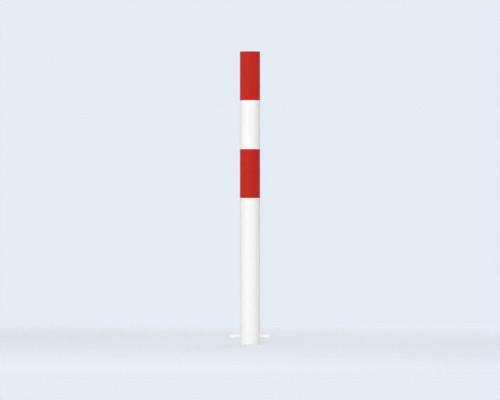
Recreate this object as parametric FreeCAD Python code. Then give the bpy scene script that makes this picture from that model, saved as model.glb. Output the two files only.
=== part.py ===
# Cast-in chain post: a round steel tube with two red film bands, a push-in cap, a welded chain eye
# and an anchor rod through its foot.
# Frame: millimetres, +Z up, origin on the tube's axis at the level up to which the foot is cast in.
# The anchor rod lies along X, the front of the post faces -Y and the chain eye points to +Y.
import FreeCAD, Part
import math
import os

from FreeCAD import Vector

# Post tube
height_above_ground = 900.0
embedded_depth = 300.0
tube_diameter = 82.5
tube_wall = 2.9
tube_edge_break = 0.4

# Push-in cap: a head on the tube's end and a ribbed skirt inside the tube
cap_head_thickness = 4.0
cap_head_edge_radius = 1.5
cap_skirt_depth = 20.0
cap_skirt_wall = 2.5
cap_skirt_gap = 2.2
cap_rib_count = 3
cap_rib_pitch = 5.5
cap_rib_root = 1.6
cap_rib_tip = 0.8
cap_rib_rise = 1.2
cap_rib_clearance = 0.1

# Red film bands: the white stretch between them is as tall as a band
band_height = 200.0
film_thickness = 0.3
film_adhesive = 0.1
film_lap = 14.0

# Anchor rod
anchor_diameter = 15.0
anchor_reach = 39.0
anchor_height = 34.0
anchor_end_radius = 1.5
anchor_hole_clearance = 0.25
anchor_weld_leg = 4.0

# Chain eye: a bent bar with its two legs one above the other
eye_bar_diameter = 8.0
eye_inner_width = 24.0
eye_inner_depth = 28.0
eye_drop_below_band = 45.0
eye_weld_leg = 4.0

# Weld faces stand this far outside the straight line between their two toes
weld_bulge = 0.5

# Values worked out from the driving dimensions
tube_outer_radius = tube_diameter / 2
tube_inner_radius = tube_outer_radius - tube_wall
foot_z = -embedded_depth
tube_top_z = height_above_ground - cap_head_thickness
upper_band_bottom_z = height_above_ground - band_height
lower_band_top_z = upper_band_bottom_z - band_height
anchor_radius = anchor_diameter / 2
anchor_z = foot_z + anchor_height
anchor_end_x = tube_outer_radius + anchor_reach
eye_bar_radius = eye_bar_diameter / 2
eye_leg_offset = eye_inner_width / 2 + eye_bar_radius
eye_z = upper_band_bottom_z - eye_drop_below_band
eye_bend_y = tube_outer_radius + eye_inner_depth - eye_inner_width / 2

AXIS_X = Vector(1, 0, 0)
AXIS_Y = Vector(0, 1, 0)
AXIS_Z = Vector(0, 0, 1)
ORIGIN = Vector(0, 0, 0)
FULL_TURN = 360.0
BACK_ANGLE = 90.0


def profile_edges(points):
    """Straight edges through a list of (radius, height) points, from the first to the last."""
    corners = [Vector(radius, 0, height) for radius, height in points]
    return [Part.LineSegment(a, b).toShape() for a, b in zip(corners, corners[1:])]


def revolved(edges):
    """Solid of revolution about Z from edges that close a section in the XZ plane."""
    section = Part.Face(Part.Wire(edges))
    return section.revolve(ORIGIN, AXIS_Z, FULL_TURN)


def tube_envelope():
    """The tube's outer cylinder as a full solid, used to fit other pieces to the tube's surface."""
    return Part.makeCylinder(tube_outer_radius, tube_top_z - foot_z, Vector(0, 0, foot_z))


def make_post_tube():
    """Tube with deburred ends and a cross hole for the anchor rod."""
    outline = [
        (tube_inner_radius + tube_edge_break, foot_z),
        (tube_outer_radius - tube_edge_break, foot_z),
        (tube_outer_radius, foot_z + tube_edge_break),
        (tube_outer_radius, tube_top_z - tube_edge_break),
        (tube_outer_radius - tube_edge_break, tube_top_z),
        (tube_inner_radius + tube_edge_break, tube_top_z),
        (tube_inner_radius, tube_top_z - tube_edge_break),
        (tube_inner_radius, foot_z + tube_edge_break),
        (tube_inner_radius + tube_edge_break, foot_z),
    ]
    wall = revolved(profile_edges(outline))
    hole_radius = anchor_radius + anchor_hole_clearance
    hole = Part.makeCylinder(hole_radius, 2 * anchor_end_x, Vector(-anchor_end_x, 0, anchor_z), AXIS_X)
    return wall.cut(hole)


def make_cap_rib(skirt_radius, root_z):
    """One flexible rib round the skirt: it rises towards its thin tip, which grips the tube."""
    tip_radius = tube_inner_radius - cap_rib_clearance
    root_radius = skirt_radius - cap_skirt_wall / 2
    outline = [
        (root_radius, root_z),
        (skirt_radius, root_z),
        (tip_radius, root_z + cap_rib_rise),
        (tip_radius, root_z + cap_rib_rise + cap_rib_tip),
        (skirt_radius, root_z + cap_rib_root),
        (root_radius, root_z + cap_rib_root),
        (root_radius, root_z),
    ]
    return revolved(profile_edges(outline))


def make_top_cap():
    """Moulded cap: flat head with a rounded edge, hollow skirt and a stack of ribs."""
    head_radius = tube_outer_radius
    flat_radius = head_radius - cap_head_edge_radius
    skirt_radius = tube_inner_radius - cap_skirt_gap
    hollow_radius = skirt_radius - cap_skirt_wall
    skirt_end_z = tube_top_z - cap_skirt_depth
    edge_middle = cap_head_edge_radius * (1 - math.sqrt(0.5))
    top_edge = profile_edges([(0, height_above_ground), (flat_radius, height_above_ground)])
    round_edge = Part.Arc(
        Vector(flat_radius, 0, height_above_ground),
        Vector(head_radius - edge_middle, 0, height_above_ground - edge_middle),
        Vector(head_radius, 0, height_above_ground - cap_head_edge_radius),
    ).toShape()
    lower_edges = profile_edges([
        (head_radius, height_above_ground - cap_head_edge_radius),
        (head_radius, tube_top_z),
        (skirt_radius, tube_top_z),
        (skirt_radius, skirt_end_z),
        (hollow_radius, skirt_end_z),
        (hollow_radius, tube_top_z),
        (0, tube_top_z),
        (0, height_above_ground),
    ])
    cap = revolved(top_edge + [round_edge] + lower_edges)
    ribs = [make_cap_rib(skirt_radius, skirt_end_z + i * cap_rib_pitch) for i in range(cap_rib_count)]
    return cap.fuse(ribs).removeSplitter()


def make_film_band(bottom_z, top_z):
    """Film wrapped once round the tube, with its end lapped over its start at the back."""
    height = top_z - bottom_z
    base = Vector(0, 0, bottom_z)
    inside = tube_outer_radius + film_adhesive
    first_layer = inside + film_thickness
    second_layer = first_layer + film_thickness
    core = Part.makeCylinder(inside, height, base)
    lap_angle = math.degrees(film_lap / first_layer)
    lap = Part.makeCylinder(second_layer, height, base, AXIS_Z, lap_angle)
    lap.rotate(ORIGIN, AXIS_Z, BACK_ANGLE - lap_angle / 2)
    film = Part.makeCylinder(first_layer, height, base).fuse(lap).removeSplitter()
    return film.cut(core)


def make_anchor_rod():
    """Round bar across the foot of the tube, with rounded ends."""
    rod = Part.makeCylinder(anchor_radius, 2 * anchor_end_x, Vector(-anchor_end_x, 0, anchor_z), AXIS_X)
    end_edges = [edge for edge in rod.Edges if edge.Closed]
    return rod.makeFillet(anchor_end_radius, end_edges)


def make_weld(bar_radius, leg, foot_point, direction):
    """Fillet weld round a bar that stands on the tube: its section is a triangle with a bulging face.

    The section goes on below the bar's foot, because the tube falls away at both sides of the bar.
    """
    drop = tube_outer_radius - math.sqrt(tube_outer_radius**2 - (bar_radius + 2 * leg)**2)
    top = Vector(bar_radius, 0, leg)
    toe = Vector(bar_radius + leg + drop, 0, -drop)
    corner = Vector(bar_radius, 0, -drop)
    bulge = Vector(weld_bulge, 0, weld_bulge).multiply(math.sqrt(0.5))
    face = Part.Arc(top, (top + toe).multiply(0.5) + bulge, toe).toShape()
    sides = [Part.LineSegment(toe, corner).toShape(), Part.LineSegment(corner, top).toShape()]
    ring = revolved([face] + sides)
    ring.Placement = FreeCAD.Placement(foot_point, FreeCAD.Rotation(AXIS_Z, direction))
    return ring.cut(tube_envelope())


def make_chain_eye():
    """Bar bent to a U, with its legs fitted to the tube's surface."""
    start_y = tube_inner_radius
    upper_z = eye_z + eye_leg_offset
    lower_z = eye_z - eye_leg_offset
    path = Part.Wire([
        Part.LineSegment(Vector(0, start_y, upper_z), Vector(0, eye_bend_y, upper_z)).toShape(),
        Part.Arc(
            Vector(0, eye_bend_y, upper_z),
            Vector(0, eye_bend_y + eye_leg_offset, eye_z),
            Vector(0, eye_bend_y, lower_z),
        ).toShape(),
        Part.LineSegment(Vector(0, eye_bend_y, lower_z), Vector(0, start_y, lower_z)).toShape(),
    ])
    section = Part.Wire(Part.makeCircle(eye_bar_radius, Vector(0, start_y, upper_z), AXIS_Y))
    bar = path.makePipeShell([section], True, True)
    return bar.cut(tube_envelope())


def make_anchor_weld(side):
    """Weld where the anchor rod comes out of the tube, at +X for side 1 and at -X for side -1."""
    foot_point = Vector(side * tube_outer_radius, 0, anchor_z)
    return make_weld(anchor_radius, anchor_weld_leg, foot_point, AXIS_X * side)


def make_eye_weld(side):
    """Weld at one leg of the chain eye, the upper leg for side 1 and the lower leg for side -1."""
    foot_point = Vector(0, tube_outer_radius, eye_z + side * eye_leg_offset)
    return make_weld(eye_bar_radius, eye_weld_leg, foot_point, AXIS_Y)


def main():
    pieces = {
        "post_tube": make_post_tube(),
        "top_cap": make_top_cap(),
        "upper_red_band": make_film_band(upper_band_bottom_z, tube_top_z),
        "lower_red_band": make_film_band(lower_band_top_z - band_height, lower_band_top_z),
        "anchor_rod": make_anchor_rod(),
        "anchor_weld_left": make_anchor_weld(-1),
        "anchor_weld_right": make_anchor_weld(1),
        "chain_eye": make_chain_eye(),
        "chain_eye_weld_upper": make_eye_weld(1),
        "chain_eye_weld_lower": make_eye_weld(-1),
    }
    os.makedirs("parts", exist_ok=True)
    for node, shape in pieces.items():
        shape.exportStep(os.path.join("parts", node + ".step"))
        print(f"{node}: {len(shape.Solids)} solid, valid {shape.isValid()}, {shape.Volume:.1f} mm3")


main()
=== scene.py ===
import math

import bmesh
import bpy
import numpy as np
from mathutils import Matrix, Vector


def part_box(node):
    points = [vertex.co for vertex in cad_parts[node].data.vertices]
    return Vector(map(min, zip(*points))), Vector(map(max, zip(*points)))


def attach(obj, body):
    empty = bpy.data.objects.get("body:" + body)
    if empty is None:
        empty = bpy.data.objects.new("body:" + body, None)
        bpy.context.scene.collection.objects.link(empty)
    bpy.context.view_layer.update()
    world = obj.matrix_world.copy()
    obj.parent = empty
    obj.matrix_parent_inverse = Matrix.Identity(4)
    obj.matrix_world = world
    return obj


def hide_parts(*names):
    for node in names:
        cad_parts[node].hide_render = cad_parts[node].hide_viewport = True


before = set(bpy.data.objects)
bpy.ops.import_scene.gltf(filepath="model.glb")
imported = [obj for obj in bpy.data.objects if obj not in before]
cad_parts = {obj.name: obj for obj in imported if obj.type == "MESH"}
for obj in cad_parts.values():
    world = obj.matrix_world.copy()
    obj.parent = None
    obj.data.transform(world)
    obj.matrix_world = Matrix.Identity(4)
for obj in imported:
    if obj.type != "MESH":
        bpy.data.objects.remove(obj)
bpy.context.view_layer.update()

# Cast-in chain post, in metres: a coated steel tube with two red film bands, a red push-in cap,
# a chain eye welded to its back and an anchor rod welded through its foot.

turn = 2 * math.pi
mergeDistance = 2e-6  # points nearer to each other than this are one point
onlyBody = "root"  # the post has no joints, so every piece rides on this body


# Vertices of a CAD node as rows of x, y, z
def nodePoints(node):
    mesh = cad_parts[node].data
    flat = np.empty(3 * len(mesh.vertices), np.float32)
    mesh.vertices.foreach_get("co", flat)
    return flat.reshape(-1, 3).astype(float)


# Smallest and largest distance of a CAD node's vertices from the Z axis
def radiiOf(node):
    points = nodePoints(node)
    distance = np.hypot(points[:, 0], points[:, 1])
    return distance.min(), distance.max()


# Sizes that several pieces share, all taken from the frame
tubeInner, tubeOuter = radiiOf("post_tube")
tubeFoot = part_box("post_tube")[0].z
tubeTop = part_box("post_tube")[1].z
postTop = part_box("top_cap")[1].z
rodLow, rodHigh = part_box("anchor_rod")
rodZ = (rodLow.z + rodHigh.z) / 2
rodRadius = (rodHigh.z - rodLow.z) / 2
eyeLow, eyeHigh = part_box("chain_eye")
eyeZ = (eyeLow.z + eyeHigh.z) / 2
eyeBarRadius = eyeHigh.x
eyeLegOffset = eyeHigh.z - eyeZ - eyeBarRadius  # from the eye's middle to the middle of a leg
eyeBendY = eyeHigh.y - eyeBarRadius - eyeLegOffset  # where the legs end and the half circle starts
print(f"frame: tube {2000 * tubeOuter:.1f} mm wide, from {tubeFoot:.3f} m to {postTop:.3f} m")


# Point at a radius, an angle round the Z axis and a height: the three arrays are spread to one grid
def roundZ(radius, angle, height):
    radius, angle, height = np.broadcast_arrays(radius, angle, height)
    return np.stack([radius * np.cos(angle), radius * np.sin(angle), height], axis=-1)


# Profile of (radius, height) points carried round the Z axis through the given angles
def revolve(profile, angles):
    return roundZ(profile[:, 0, None], angles, profile[:, 1, None])


# Arc of a profile: centre plus radius at even steps between two angles in degrees
def arc(centre, radius, first, last, count):
    angle = np.radians(np.linspace(first, last, count))
    return np.array(centre) + radius * np.column_stack([np.cos(angle), np.sin(angle)])


# Ease from 0 to 1: three squares less two cubes of the share, held at both ends
def ease(share):
    share = np.clip(share, 0, 1)
    return share * share * (3 - 2 * share)


# Hump over a share: 0 at both ends and 1 in the middle, as a parabola
def hump(share):
    return 4 * share * (1 - share)


# Flat copy of a sheet: across and up are running sums of the mean distance between its columns and
# between its rows
def flatten(sheet):
    across = np.linalg.norm(np.diff(sheet, axis=1), axis=-1).mean(axis=0)
    up = np.linalg.norm(np.diff(sheet, axis=0), axis=-1).mean(axis=1)
    return np.stack(np.meshgrid(np.append(0, across.cumsum()), np.append(0, up.cumsum())), axis=-1)


flatMap = {
    "name": "OFBake",  # name of the flat map that each piece carries
    "gap": 0.01,  # round each sheet, as a share of the tallest
}


# Flat map of a piece: its sheets stand in columns, the tallest first, and a sheet that would make its
# column taller than that starts the next one. The whole is stretched to a unit square.
def layOut(sheets):
    flats = [flatten(sheet) for sheet in sheets]
    fromTallest = sorted(flats, key=lambda flat: -flat[-1, -1, 1])
    tallest = fromTallest[0][-1, -1, 1]
    gap = flatMap["gap"] * tallest
    top = tallest + 2 * gap
    right, bottom = gap, top  # no room left, so that the first sheet starts the first column
    for flat in fromTallest:
        width, height = flat[-1, -1]
        if bottom + height + gap > top:
            left, bottom = right, gap
        flat += (left, bottom)
        bottom += height + gap
        right = max(right, left + width + gap)
    return np.vstack([flat.reshape(-1, 2) for flat in flats]) / (right, top)


# Skin from sheets, each a grid of points: a face joins every four neighbours, points that coincide
# become one, which shuts seams and poles, and a closed skin's faces are turned outwards. Each corner
# of a face keeps its own place on the flat map.
def makePiece(name, sheets, sharpDegrees=35, closed=True):
    points, faces, count = [], [], 0
    for sheet in sheets:
        rows, columns = sheet.shape[:2]
        index = count + np.arange(rows * columns).reshape(rows, columns)
        corners = [index[:-1, :-1], index[:-1, 1:], index[1:, 1:], index[1:, :-1]]
        faces.append(np.stack(corners, axis=-1).reshape(-1, 4))
        points.append(sheet.reshape(-1, 3))
        count += rows * columns
    faces = np.vstack(faces)
    mesh = bpy.data.meshes.new(name)
    mesh.from_pydata(np.vstack(points).tolist(), [], faces.tolist())
    flat = mesh.uv_layers.new(name=flatMap["name"])
    flat.uv.foreach_set("vector", layOut(sheets)[faces].ravel())
    skin = bmesh.new()
    skin.from_mesh(mesh)
    bmesh.ops.remove_doubles(skin, verts=skin.verts, dist=mergeDistance)
    if closed:
        bmesh.ops.recalc_face_normals(skin, faces=skin.faces)
    openEdges = sum(not edge.is_manifold for edge in skin.edges)
    skin.to_mesh(mesh)
    skin.free()
    mesh.shade_smooth()
    mesh.set_sharp_from_angle(angle=math.radians(sharpDegrees))
    piece = bpy.data.objects.new(name, mesh)
    bpy.context.scene.collection.objects.link(piece)
    print(f"piece {name}: {len(mesh.polygons)} faces, {openEdges} open edges")
    return piece


# The piece takes its finish, rides on the body and stands for its CAD node
def settle(piece, finish, node):
    piece.data.materials.append(finish)
    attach(piece, onlyBody)
    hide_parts(node)


# One output of a node tree: its operators add Math nodes, so a mask or a height reads as a formula
class Wire:
    def __init__(self, tree, socket):
        self.tree = tree
        self.socket = socket

    # Gives each named socket of a node its value or its link
    def feed(self, node, sockets):
        for name, value in sockets.items():
            if isinstance(value, Wire):
                self.tree.links.new(value.socket, node.inputs[name])
            else:
                node.inputs[name].default_value = value

    # Any node: its settings are set first, then its sockets are fed
    def node(self, kind, settings, sockets, output=0):
        made = self.tree.nodes.new(kind)
        for name, value in settings.items():
            setattr(made, name, value)
        self.feed(made, sockets)
        return Wire(self.tree, made.outputs[output])

    # One Math node on the values
    def math(self, operation, *values):
        return self.node("ShaderNodeMath", {"operation": operation}, dict(enumerate(values)))

    def __add__(self, other):
        return self.math("ADD", self, other)

    def __sub__(self, other):
        return self.math("SUBTRACT", self, other)

    def __rsub__(self, other):
        return self.math("SUBTRACT", other, self)

    def __mul__(self, other):
        return self.math("MULTIPLY", self, other)

    __radd__ = __add__
    __rmul__ = __mul__

    # Smooth step of this value from 0 at the first bound to 1 at the second
    def step(self, low, high):
        sockets = {"Value": self, "From Min": low, "From Max": high}
        return self.node("ShaderNodeMapRange", {"interpolation_type": "SMOOTHSTEP"}, sockets)

    # This mask's blend from one colour to another
    def blend(self, colourA, colourB):
        sockets = {0: self, 6: colourA, 7: colourB}  # places of the factor and the two colours
        return self.node("ShaderNodeMix", {"data_type": "RGBA"}, sockets, 2)

    # This mask's blend between a colour darkened and brightened by a share
    def vary(self, colour, share):
        return self.blend(shade(colour, 1 - share), shade(colour, 1 + share))

    # Soft noise from 0 to 1 at this place, with lumps of about the given size in metres
    def noise(self, size, detail=2.0):
        sockets = {"Vector": self, "Scale": 1 / size, "Detail": detail}
        return self.node("ShaderNodeTexNoise", {}, sockets, "Fac")

    # Cells of about the given size in metres: a random grey for each cell
    def cells(self, size):
        sockets = {"Vector": self, "Scale": 1 / size}
        colour = self.node("ShaderNodeTexVoronoi", {}, sockets, "Color")
        return colour.node("ShaderNodeSeparateColor", {}, {0: colour}, "Red")

    # Surface normal tilted by the slope of a height in metres
    def bump(self):
        return self.node("ShaderNodeBump", {}, {"Height": self, "Distance": 1.0, "Strength": 1.0})

    # Distance from the Z axis: square root of x squared plus y squared
    def radius(self):
        flat = self.node("ShaderNodeVectorMath", {"operation": "MULTIPLY"}, {0: self, 1: (1, 1, 0)})
        return flat.node("ShaderNodeVectorMath", {"operation": "LENGTH"}, {0: flat}, "Value")

    # Height above the frame's origin
    def height(self):
        return self.node("ShaderNodeSeparateXYZ", {}, {0: self}, "Z")


# Colour with its brightness times a factor, with alpha
def shade(colour, factor):
    return (*(factor * part for part in colour), 1.0)


# New material: gives it with its shader and the place on the piece in Object coordinates
def newFinish(name):
    material = bpy.data.materials.new(name)
    material.use_nodes = True
    tree = material.node_tree
    place = Wire(tree, tree.nodes.new("ShaderNodeTexCoord").outputs["Object"])
    return material, tree.nodes["Principled BSDF"], place


coating = {
    "colour": (0.893, 0.893, 0.878),
    "drift": 0.0075,  # slow change of tone over the post, as a share of the colour
    "driftSize": 0.16,
    "roughness": 0.42,
    "hazeSize": 0.0057,
    "hazeSpread": 0.08,  # change of roughness from haze to haze
    "specular": 0.28,
    "peelSize": 0.0019,  # lumps of the orange peel that the powder leaves
    "peelHeight": 0.00014,
    "grainSize": 0.0006,
    "grainHeight": 0.000003,
    "weldPeel": 1.2,  # the peel is this much higher on the welds
}


# White powder coat: tone drifts slowly, roughness is its mean plus spread times a noise about zero,
# and the height is a soft orange peel with a finer grain on it
def coatingParts(place, peelScale=1.0):
    colour = place.noise(coating["driftSize"], 3.0).vary(coating["colour"], coating["drift"])
    roughness = coating["roughness"] + coating["hazeSpread"] * (place.noise(coating["hazeSize"]) - 0.5)
    peel = peelScale * coating["peelHeight"] * place.noise(coating["peelSize"], 1.0)
    height = peel + coating["grainHeight"] * place.noise(coating["grainSize"])
    return colour, roughness, height


# The coating alone, for the bars and the welds
def makeCoating(name, peelScale=1.0):
    material, shader, place = newFinish(name)
    colour, roughness, height = coatingParts(place, peelScale)
    place.feed(shader, {
        "Base Color": colour,
        "Roughness": roughness,
        "Specular IOR Level": coating["specular"],
        "Normal": height.bump(),
    })
    return material


zinc = {
    "dark": (0.33, 0.34, 0.35),
    "pale": (0.52, 0.53, 0.54),
    "spangleSize": 0.009,
    "cloudSize": 0.03,
    "cloudShare": 0.3,
    "metallic": 0.85,
    "roughness": 0.46,
    "spangleRoughness": 0.12,
    "edgeSoftness": 0.001,  # the coating goes over into bare zinc over this much of the wall
    "sprayReach": 0.11,  # how far the white powder drifts up the open foot
    "sprayRagged": 0.05,
    "sprayRaggedSize": 0.012,
}


# The tube's finish: powder coat outside, and inside the bare zinc with its spangle. The mask goes
# over at the middle of the wall, and white dust thins out from the open foot upwards.
def makeTubeFinish():
    material, shader, place = newFinish("tubeCoating")
    colour, roughness, height = coatingParts(place)
    wallMiddle = (tubeInner + tubeOuter) / 2
    inside = 1 - place.radius().step(wallMiddle - zinc["edgeSoftness"], wallMiddle + zinc["edgeSoftness"])
    ragged = place.height() + zinc["sprayRagged"] * place.noise(zinc["sprayRaggedSize"], 3.0)
    bare = inside * ragged.step(tubeFoot, tubeFoot + zinc["sprayReach"])
    cloud = zinc["cloudShare"] * place.noise(zinc["cloudSize"])
    spangle = (1 - zinc["cloudShare"]) * place.cells(zinc["spangleSize"]) + cloud
    metal = spangle.blend(shade(zinc["dark"], 1), shade(zinc["pale"], 1))
    rougher = zinc["roughness"] - coating["roughness"] + zinc["spangleRoughness"] * spangle
    place.feed(shader, {
        "Base Color": bare.blend(colour, metal),
        "Metallic": bare * zinc["metallic"],
        "Roughness": roughness + bare * rougher,
        "Specular IOR Level": coating["specular"],
        "Normal": height.bump(),
    })
    return material


tube = {
    "segments": 192,  # faces round the tube
    "wallRows": 40,
    "footRows": 5,
    "edgeRound": 0.0004,
    "edgeRows": 5,
    "holeClearance": 0.00025,
    "patchColumns": 12,  # columns of the patch to each side of an anchor hole
    "patchRows": 24,
    "patchHalfHeight": 0.014,
    "patchRings": 6,
}


# Tube: a profile goes round above and below the anchor holes, and in between each wall has two
# patches. A patch is a share's blend from the hole's edge, where across squared plus up squared is
# the hole's radius squared, to a square of wall columns and rows. Tunnels join the two walls.
def makeTube():
    soft = tube["edgeRound"]
    innerEdge, outerEdge = tubeInner + soft, tubeOuter - soft
    upperEnd, lowerEnd = tubeTop - soft, tubeFoot + soft
    columns = tube["patchColumns"]
    step = turn / tube["segments"]
    patchRows = np.linspace(-1, 1, tube["patchRows"] + 1) * tube["patchHalfHeight"] + rodZ
    patchFoot, patchTop = patchRows[0], patchRows[-1]
    allRound = np.arange(tube["segments"] + 1) * step
    outerWall = np.linspace((tubeOuter, patchTop), (tubeOuter, upperEnd), tube["wallRows"])
    innerWall = np.linspace((tubeInner, upperEnd), (tubeInner, patchTop), tube["wallRows"])
    upperRim = np.vstack([
        arc((outerEdge, upperEnd), soft, 0, 90, tube["edgeRows"]),
        arc((innerEdge, upperEnd), soft, 90, 180, tube["edgeRows"]),
    ])
    lowerRim = np.vstack([
        np.linspace((tubeInner, patchFoot), (tubeInner, lowerEnd), tube["footRows"]),
        arc((innerEdge, lowerEnd), soft, 180, 270, tube["edgeRows"]),
        arc((outerEdge, lowerEnd), soft, 270, 360, tube["edgeRows"]),
        np.linspace((tubeOuter, lowerEnd), (tubeOuter, patchFoot), tube["footRows"]),
    ])
    sheets = [revolve(profile, allRound) for profile in (outerWall, upperRim, innerWall, lowerRim)]

    # The square's edge, once round from its lower left corner
    wide = np.arange(-columns, columns + 1) * step
    side = np.ones(tube["patchRows"])
    level = np.ones(2 * columns)
    squareAngle = np.concatenate([wide[:-1], side * wide[-1], wide[:0:-1], side * wide[0], wide[:1]])
    squareHeight = np.concatenate([
        level * patchFoot, patchRows[:-1], level * patchTop, patchRows[:0:-1], patchRows[:1],
    ])
    holeRadius = rodRadius + tube["holeClearance"]
    direction = np.arctan2(squareHeight - rodZ, tubeOuter * squareAngle)
    across = holeRadius * np.cos(direction)
    up = rodZ + holeRadius * np.sin(direction)
    share = np.linspace(0, 1, tube["patchRings"])[:, None]
    between = np.arange(columns, tube["segments"] // 2 - columns + 1) * step
    for start in (0, math.pi):
        for radius in (tubeInner, tubeOuter):
            sheets.append(roundZ(radius, start + between, patchRows[:, None]))
            patchAngle = (1 - share) * np.arcsin(across / radius) + share * squareAngle
            patchHeight = (1 - share) * up + share * squareHeight
            sheets.append(roundZ(radius, start + patchAngle, patchHeight))
        innerDepth = np.sqrt(tubeInner**2 - across**2)
        outerDepth = np.sqrt(tubeOuter**2 - across**2)
        depth = (1 - share) * innerDepth + share * outerDepth
        sheets.append(roundZ(np.hypot(depth, across), start + np.arctan2(across, depth), up))
    return makePiece("postTube", sheets)


film = {
    "colour": (0.50, 0.0125, 0.005),
    "turnColumns": 217,
    "lapColumns": 12,
    "rows": 9,
    "lap": 0.014,  # the end lies this far over the start, at the back
    "climb": 0.004,  # length over which the end rises on to the start
    "lapGap": 0.00001,
    "beadSize": 0.0005,  # glass beads under the clear top layer
    "beadTone": 0.07,
    "beadHeight": 0.000001,
    "cloudSize": 0.05,
    "cloudShare": 0.2,
    "roughness": 0.30,
    "hazeSize": 0.004,
    "hazeSpread": 0.06,
    "specular": 0.20,
    "waveSize": 0.022,
    "waveHeight": 0.00002,
}


# Red reflective film: each bead cell has its own tone, under a slow cloud, and waves of the film and
# the beads' grain bend the gloss
def makeFilmFinish():
    material, shader, place = newFinish("redFilm")
    cloud = film["cloudShare"] * place.noise(film["cloudSize"])
    tone = (1 - film["cloudShare"]) * place.cells(film["beadSize"]) + cloud
    wave = film["waveHeight"] * place.noise(film["waveSize"], 1.0)
    height = wave + film["beadHeight"] * place.noise(film["beadSize"], 0.0)
    place.feed(shader, {
        "Base Color": tone.vary(film["colour"], film["beadTone"]),
        "Roughness": film["roughness"] + film["hazeSpread"] * (place.noise(film["hazeSize"]) - 0.5),
        "Specular IOR Level": film["specular"],
        "Normal": height.bump(),
    })
    return material


# Film band: a thin strip carried once round the tube. Its radius is the tube's plus a lift, which
# eases up by one thickness just before the end passes over the start. At both ends the strip's section
# is drawn in to its middle line, half a thickness short of its edges, which shuts it.
def makeFilm(name, node):
    inside, outside = radiiOf(node)
    thickness = (outside - inside) / 2  # two layers at the lap
    bottom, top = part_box(node)[0].z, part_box(node)[1].z
    lapAngle = film["lap"] / outside
    climbAngle = film["climb"] / outside
    start = math.pi / 2 - lapAngle / 2
    angle = start + np.concatenate([
        np.linspace(0, turn - climbAngle, film["turnColumns"]),
        np.linspace(turn - climbAngle, turn, film["lapColumns"]),
        np.linspace(turn, turn + lapAngle, film["lapColumns"]),
    ])
    lift = (thickness + film["lapGap"]) * ease((angle - start - turn) / climbAngle + 1)
    rows = film["rows"]
    offset = np.concatenate([np.full(rows, thickness), np.zeros(rows), [thickness]])
    share = np.concatenate([np.linspace(0, 1, rows), np.linspace(1, 0, rows), [0]])
    height = (1 - share) * bottom + share * top
    endHeight = (1 - share) * (bottom + thickness / 2) + share * (top - thickness / 2)
    base = (inside + lift)[:, None]
    strip = roundZ(base + offset, angle[:, None], height)
    firstEnd = roundZ(base[:1] + thickness / 2, angle[:1, None], endHeight)
    lastEnd = roundZ(base[-1:] + thickness / 2, angle[-1:, None], endHeight)
    return makePiece(name, [np.concatenate([firstEnd, strip, lastEnd])])


cap = {
    "colour": (0.495, 0.0158, 0.0099),
    "segments": 160,
    "headRings": 12,
    "edgeRound": 0.0015,
    "edgeRows": 9,
    "seatRound": 0.0003,  # lower edge of the head, beside the tube's end
    "seatRows": 4,
    "gateRadius": 0.0032,  # dimple in the middle, where the plastic was let in
    "gateDepth": 0.0004,
    "gateRings": 9,
    "skirtDepth": 0.020,
    "skirtGap": 0.0022,
    "skirtWall": 0.0025,
    "ribs": 3,
    "ribPitch": 0.0055,
    "ribRoot": 0.0016,
    "ribTip": 0.0008,
    "ribRise": 0.0012,
    "ribClearance": 0.0001,
    "roughness": 0.47,
    "roughnessSpread": 0.12,
    "specular": 0.35,
    "toneSpread": 0.10,
    "grainShare": 0.5,  # of the tone
    "grainSize": 0.0007,  # eroded grain of the mould
    "grainHeight": 0.000008,
    "cloudSize": 0.018,
    "flowShare": 0.2,
    "flowPitch": 0.0065,  # faint rings of the flow round the dimple
    "flowWander": 0.6,
    "flowWanderSize": 0.02,
}


# Moulded plastic of the cap: its tone is shares of grain, of rings, which are a sine of the distance
# from the middle, and of cloud for the rest. The height is the grain.
def makeCapFinish():
    material, shader, place = newFinish("redCapPlastic")
    grain = place.noise(cap["grainSize"])
    flow = place.radius() * (1 / cap["flowPitch"]) + cap["flowWander"] * place.noise(cap["flowWanderSize"])
    ring = 0.5 + 0.5 * flow.math("SINE", flow * turn)
    cloud = (1 - cap["grainShare"] - cap["flowShare"]) * place.noise(cap["cloudSize"])
    tone = cap["grainShare"] * grain + cap["flowShare"] * ring + cloud
    height = cap["grainHeight"] * grain
    place.feed(shader, {
        "Base Color": tone.vary(cap["colour"], cap["toneSpread"]),
        "Roughness": cap["roughness"] + cap["roughnessSpread"] * (grain - 0.5),
        "Specular IOR Level": cap["specular"],
        "Normal": height.bump(),
    })
    return material


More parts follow.
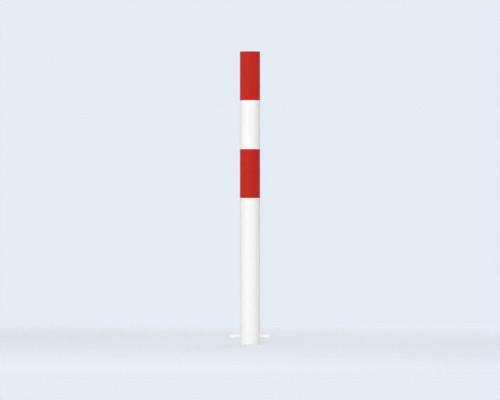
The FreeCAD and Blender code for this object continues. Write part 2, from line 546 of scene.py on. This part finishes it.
# Cap: one profile round the axis, from the dimple over the head, down the ribbed skirt and back up
# inside the hollow. The dimple is half a cosine wave deep.
def makeCap():
    headEdge = tubeOuter - cap["edgeRound"]
    seatEdge = tubeOuter - cap["seatRound"]
    skirt = tubeInner - cap["skirtGap"]
    hollow = skirt - cap["skirtWall"]
    skirtEnd = tubeTop - cap["skirtDepth"]
    ribTip = tubeInner - cap["ribClearance"]
    dimple = np.linspace(0, cap["gateRadius"], cap["gateRings"])
    dip = cap["gateDepth"] * (0.5 + 0.5 * np.cos(math.pi * dimple / cap["gateRadius"]))
    rib = np.array([
        (skirt, cap["ribRoot"]),
        (ribTip, cap["ribRise"] + cap["ribTip"]),
        (ribTip, cap["ribRise"]),
        (skirt, 0),
    ])
    roots = skirtEnd + cap["ribPitch"] * np.arange(cap["ribs"])[::-1]
    profile = np.vstack([
        np.column_stack([dimple, postTop - dip]),
        np.linspace((cap["gateRadius"], postTop), (headEdge, postTop), cap["headRings"]),
        arc((headEdge, postTop - cap["edgeRound"]), cap["edgeRound"], 90, 0, cap["edgeRows"]),
        arc((seatEdge, tubeTop + cap["seatRound"]), cap["seatRound"], 0, -90, cap["seatRows"]),
        [(skirt, tubeTop)],
        *(rib + (0, root) for root in roots),
        [(hollow, skirtEnd), (hollow, tubeTop), (0, tubeTop)],
    ])
    return makePiece("topCap", [revolve(profile, np.linspace(0, turn, cap["segments"] + 1))])


rod = {
    "segments": 96,
    "endRound": 0.0015,
    "endRows": 7,
    "lengthRows": 33,
}


# Anchor rod: a profile of (radius, x) points carried round the rod's own axis, which lies along X
def makeRod():
    edge = rodRadius - rod["endRound"]
    rim = rodHigh.x - rod["endRound"]
    half = np.vstack([[(0, rodHigh.x)], arc((edge, rim), rod["endRound"], 90, 0, rod["endRows"])])
    along = np.linspace((rodRadius, rim), (rodRadius, -rim), rod["lengthRows"])
    profile = np.vstack([half, along, half[::-1] * (1, -1)])
    angle = np.linspace(0, turn, rod["segments"] + 1)
    radius, x = profile[:, 0, None], profile[:, 1, None] + 0 * angle
    sheet = np.stack([x, radius * np.cos(angle), rodZ + radius * np.sin(angle)], axis=-1)
    return makePiece("anchorRod", [sheet])


weld = {
    "columns": 320,  # round the bar
    "faceRows": 25,  # across the bead
    "halvings": 24,
    "sharpDegrees": 60,
    "bulge": 0.0005,
    "ripplePitch": 0.0014,  # from one ripple to the next along the bead
    "rippleHeight": 0.00013,
    "rippleCurve": 7.0,  # how far the ripples trail behind at the bead's edges, in radians
    "rippleFade": 0.4,  # share of their height that the ripples gain and lose along the bead
    "rippleWander": 0.8,  # how far their spacing wanders, in radians
    "unevenness": 0.035,  # the bead's width wanders by this share of its leg
    "widthWaves": (2, 5),  # slow and quick waves round the bar
    "heightWaves": (4, 9),
    "spacingWaves": (3, 7),
    "quickShare": 0.6,  # height of a quick wave beside a slow one
    "stopHeight": 0.0004,  # the bead's end lies over its start
    "stopWidth": 0.22,
}


# Bead's section at shares of its full face: a slope from the bar down to the toe, with a hump pushed
# out at 45 degrees. Gives the reach from the bar's axis and the depth from the tube's axis.
def beadFace(share, barRadius, size, drop):
    push = weld["bulge"] * hump(share) / math.sqrt(2)
    fall = (size + drop) * share
    return barRadius + fall + push, tubeOuter + size - fall + push


# Depth of the tube's surface: square root of its radius squared less across squared
def tubeDepth(reach, around):
    return np.sqrt(tubeOuter**2 - (reach * np.cos(around))**2)


# Unevenness along a bead: a slow sine plus a share of a quick one, both shifted by the seed
def waver(around, waves, seed):
    slow, quick = waves
    return np.sin(slow * around + seed) + weld["quickShare"] * np.sin(quick * around - 2 * seed)


# Fillet weld round a bar on the tube. The face goes on below the bar's foot by the drop, because the
# tube falls away beside the bar, and halving steps find the share at which it meets the tube. Ripples
# are a sine along the bead that trails at its edges. The section ends along the tube and up the bar.
def makeWeld(name, barRadius, leg, barZ, heading, seed):
    around = np.linspace(0, turn, weld["columns"] + 1)[:, None]
    size = leg * (1 + weld["unevenness"] * waver(around, weld["widthWaves"], seed))
    drop = tubeOuter - math.sqrt(tubeOuter**2 - (barRadius + 2 * leg)**2)
    toe = np.full_like(around, 0.5)
    for halving in 0.25 * 0.5 ** np.arange(weld["halvings"]):
        reach, depth = beadFace(toe, barRadius, size, drop)
        toe = toe + halving * np.sign(depth - tubeDepth(reach, around))
    share = np.linspace(0, 1, weld["faceRows"])
    reach, depth = beadFace(toe * share, barRadius, size, drop)
    rippleCount = round(turn * (barRadius + leg / 2) / weld["ripplePitch"])
    trail = weld["rippleCurve"] * (2 * share - 1)**2
    shift = weld["rippleWander"] * waver(around, weld["spacingWaves"], seed)
    height = weld["rippleHeight"] * (1 + weld["rippleFade"] * waver(around, weld["heightWaves"], seed))
    ripple = height * np.sin(rippleCount * around + shift - trail)
    fromStop = np.abs((around - seed) % turn - math.pi)  # angle to the place where the bead ends
    stop = weld["stopHeight"] * np.exp(-((fromStop / weld["stopWidth"])**2))
    relief = hump(share) * (ripple + stop) / math.sqrt(2)
    back = np.hstack([(reach[:, -1:] + barRadius) / 2, np.full_like(around, barRadius)])
    reach = np.hstack([reach + relief, back, reach[:, :1]])
    depth = np.hstack([depth + relief, tubeDepth(back, around), depth[:, :1]])
    across = reach * np.cos(around)
    up = barZ + reach * np.sin(around)
    sheet = roundZ(np.hypot(depth, across), heading + np.arctan2(across, depth), up)
    return makePiece(name, [sheet], weld["sharpDegrees"])


eye = {
    "barSegments": 48,
    "legRows": 12,
    "bendRows": 65,
    "footRings": 4,
}


# Chain eye: a circle carried along a U in the plane of Y and Z. The circle's height turns with the
# angle of the bend, the legs run from the tube's surface, where y squared is its radius squared less
# x squared, to the bend, and each foot is filled in along that surface.
def makeEye():
    angle = np.linspace(0, turn, eye["barSegments"] + 1)
    x = eyeBarRadius * np.sin(angle)
    out = eyeBarRadius * np.cos(angle)
    reach = eyeLegOffset + out
    bend = np.linspace(math.pi / 2, -math.pi / 2, eye["bendRows"])[:, None]
    bendY = eyeBendY + reach * np.cos(bend)
    sheets = [np.stack([x + 0 * bend, bendY, eyeZ + reach * np.sin(bend)], axis=-1)]
    share = np.linspace(0, 1, eye["legRows"])[:, None]
    legY = (1 - share) * np.sqrt(tubeOuter**2 - x**2) + share * eyeBendY
    footShare = np.linspace(0, 1, eye["footRings"])[:, None]
    footX = footShare * x
    footY = np.sqrt(tubeOuter**2 - footX**2)
    for side in (1, -1):
        sheets.append(np.stack([x + 0 * legY, legY, eyeZ + side * reach + 0 * legY], axis=-1))
        footZ = eyeZ + side * (eyeLegOffset + footShare * out)
        sheets.append(np.stack([footX, footY, footZ], axis=-1))
    return makePiece("chainEye", sheets)


# All pieces of the post, each with its finish and the CAD node that it stands for
tubeFinish = makeTubeFinish()
plainCoating = makeCoating("whiteCoating")
weldCoating = makeCoating("weldCoating", coating["weldPeel"])
filmFinish = makeFilmFinish()
capFinish = makeCapFinish()
print("finishes made")

settle(makeTube(), tubeFinish, "post_tube")
settle(makeCap(), capFinish, "top_cap")
for name, node in (("upperFilm", "upper_red_band"), ("lowerFilm", "lower_red_band")):
    settle(makeFilm(name, node), filmFinish, node)
settle(makeRod(), plainCoating, "anchor_rod")
settle(makeEye(), plainCoating, "chain_eye")

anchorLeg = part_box("anchor_weld_right")[1].x - tubeOuter
for name, node, heading, seed in (
    ("anchorWeldRight", "anchor_weld_right", 0, 0.4),
    ("anchorWeldLeft", "anchor_weld_left", math.pi, 2.1),
):
    piece = makeWeld(name, rodRadius, anchorLeg, rodZ, heading, seed)
    settle(piece, weldCoating, node)

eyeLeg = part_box("chain_eye_weld_upper")[1].y - tubeOuter
for name, node, side, seed in (
    ("eyeWeldUpper", "chain_eye_weld_upper", 1, 1.2),
    ("eyeWeldLower", "chain_eye_weld_lower", -1, 3.9),
):
    piece = makeWeld(name, eyeBarRadius, eyeLeg, eyeZ + side * eyeLegOffset, math.pi / 2, seed)
    settle(piece, weldCoating, node)
print("pieces made")


stage = {
    "backdrop": (0.775, 0.831, 0.913),
    "ambient": (0.385, 0.361, 0.341),  # even light from all sides
    "floorColour": (0.80, 0.85, 0.93),
    "floorRoughness": 0.9,
    "floorSpecular": 0.1,
    "floorRadius": 60.0,
    "floorRings": 28,
    "floorSegments": 96,
    "mottle": 0.01,
    "mottleSize": 0.4,
    "fadeFrom": 0.7,  # here the floor starts to go over into the backdrop
    "fadeTo": 4.5,
}


# 1 for rays that show the backdrop: straight from the camera, in a gloss or through glass
def seenRay(wire):
    seen = wire.node("ShaderNodeLightPath", {}, {}, "Is Camera Ray")
    path = seen.socket.node
    for kind in ("Is Glossy Ray", "Is Transmission Ray"):
        seen = seen.math("MAXIMUM", seen, Wire(wire.tree, path.outputs[kind]))
    return seen


# Floor: rings of points round the foot, open under the tube so that light gets into its open end.
# Its finish is pale and matt, goes over into the backdrop's colour with the distance from the post
# and is clear from below.
def makeFloor():
    rings = np.geomspace(tubeOuter - tube["edgeRound"], stage["floorRadius"], stage["floorRings"])
    angles = np.linspace(turn, 0, stage["floorSegments"] + 1)  # backwards, so that the floor faces up
    floor = makePiece("floor", [roundZ(rings[:, None], angles, tubeFoot)], closed=False)
    material, shader, place = newFinish("floorMatt")
    place.feed(shader, {
        "Base Color": place.noise(stage["mottleSize"]).vary(stage["floorColour"], stage["mottle"]),
        "Roughness": stage["floorRoughness"],
        "Specular IOR Level": stage["floorSpecular"],
    })
    matt = Wire(place.tree, shader.outputs[0])
    far = place.radius().step(stage["fadeFrom"], stage["fadeTo"]) * seenRay(place)
    glow = place.node("ShaderNodeEmission", {}, {"Color": shade(stage["backdrop"], 1)})
    faded = place.node("ShaderNodeMixShader", {}, {0: far, 1: matt, 2: glow})
    under = place.node("ShaderNodeNewGeometry", {}, {}, "Backfacing")
    clear = place.node("ShaderNodeBsdfTransparent", {}, {})
    shown = place.node("ShaderNodeMixShader", {}, {0: under, 1: faded, 2: clear})
    place.feed(place.tree.nodes["Material Output"], {"Surface": shown})
    floor.data.materials.append(material)


# World: the backdrop's colour where it is seen, and even light for everything else
def makeWorld():
    world = bpy.data.worlds.new("studio")
    world.use_nodes = True
    bpy.context.scene.world = world
    background = world.node_tree.nodes["Background"]
    wire = Wire(world.node_tree, background.outputs[0])
    colour = seenRay(wire).blend(shade(stage["ambient"], 1), shade(stage["backdrop"], 1))
    wire.feed(background, {"Color": colour})


lamps = {
    "keySoftbox": {"turned": -11, "raised": 12, "away": 7.0, "size": (3.2, 3.6), "watts": 225},
    "fillSoftbox": {"turned": 50, "raised": 10, "away": 6.0, "size": (2.4, 3.0), "watts": 16},
    "backSoftbox": {"turned": 164, "raised": 12, "away": 7.0, "size": (3.2, 3.6), "watts": 196},
    "topSoftbox": {"turned": 0, "raised": 90, "away": 4.5, "size": (4.0, 4.0), "watts": 95},
    "glossStrip": {"turned": -58, "raised": 6, "away": 5.0, "size": (0.35, 3.4), "watts": 18},
}


# Soft lamps: rectangles that look at the middle of the post from an angle round it, turned from the
# front, and an angle over the horizon. Only the narrow one shows in the gloss, as an upright line.
def makeLamps():
    middle = Vector((0, 0, (tubeFoot + postTop) / 2))
    for name, lamp in lamps.items():
        turned, raised = math.radians(lamp["turned"]), math.radians(lamp["raised"])
        level = math.cos(raised)
        towards = Vector((math.sin(turned) * level, -math.cos(turned) * level, math.sin(raised)))
        light = bpy.data.lights.new(name, "AREA")
        light.shape = "RECTANGLE"
        light.size, light.size_y = lamp["size"]
        light.energy = lamp["watts"]
        holder = bpy.data.objects.new(name, light)
        holder.location = middle + lamp["away"] * towards
        holder.rotation_euler = towards.to_track_quat("Z", "Y").to_euler()
        holder.visible_glossy = name == "glossStrip"
        holder.visible_camera = False
        bpy.context.scene.collection.objects.link(holder)


view = {
    "imageSize": (500, 400),  # pixels of the reference picture
    "topRow": 51.5,  # the post's upper end there
    "footRow": 344.5,
    "middleColumn": 250.0,
    "distance": 24.0,
    "sensor": 36.0,
    "clipEnd": 200.0,
}


# Camera: level and straight in front. The rows give metres for each pixel, the lens is sensor times
# distance over the picture's width in metres, and the picture's middle gives the camera's place.
def makeCamera():
    width, height = view["imageSize"]
    pixel = (postTop - tubeFoot) / (view["footRow"] - view["topRow"])
    camera = bpy.data.cameras.new("frontCamera")
    camera.sensor_width = view["sensor"]
    camera.lens = view["sensor"] * view["distance"] / (width * pixel)
    camera.clip_end = view["clipEnd"]
    holder = bpy.data.objects.new("frontCamera", camera)
    x = (width / 2 - view["middleColumn"]) * pixel
    z = postTop - (height / 2 - view["topRow"]) * pixel
    holder.location = (x, -view["distance"], z)
    holder.rotation_euler = (math.pi / 2, 0, 0)
    bpy.context.scene.collection.objects.link(holder)
    bpy.context.scene.camera = holder


makeFloor()
makeWorld()
makeLamps()
makeCamera()
bpy.context.scene.view_settings.view_transform = "Standard"
print("stage, lamps and camera made")
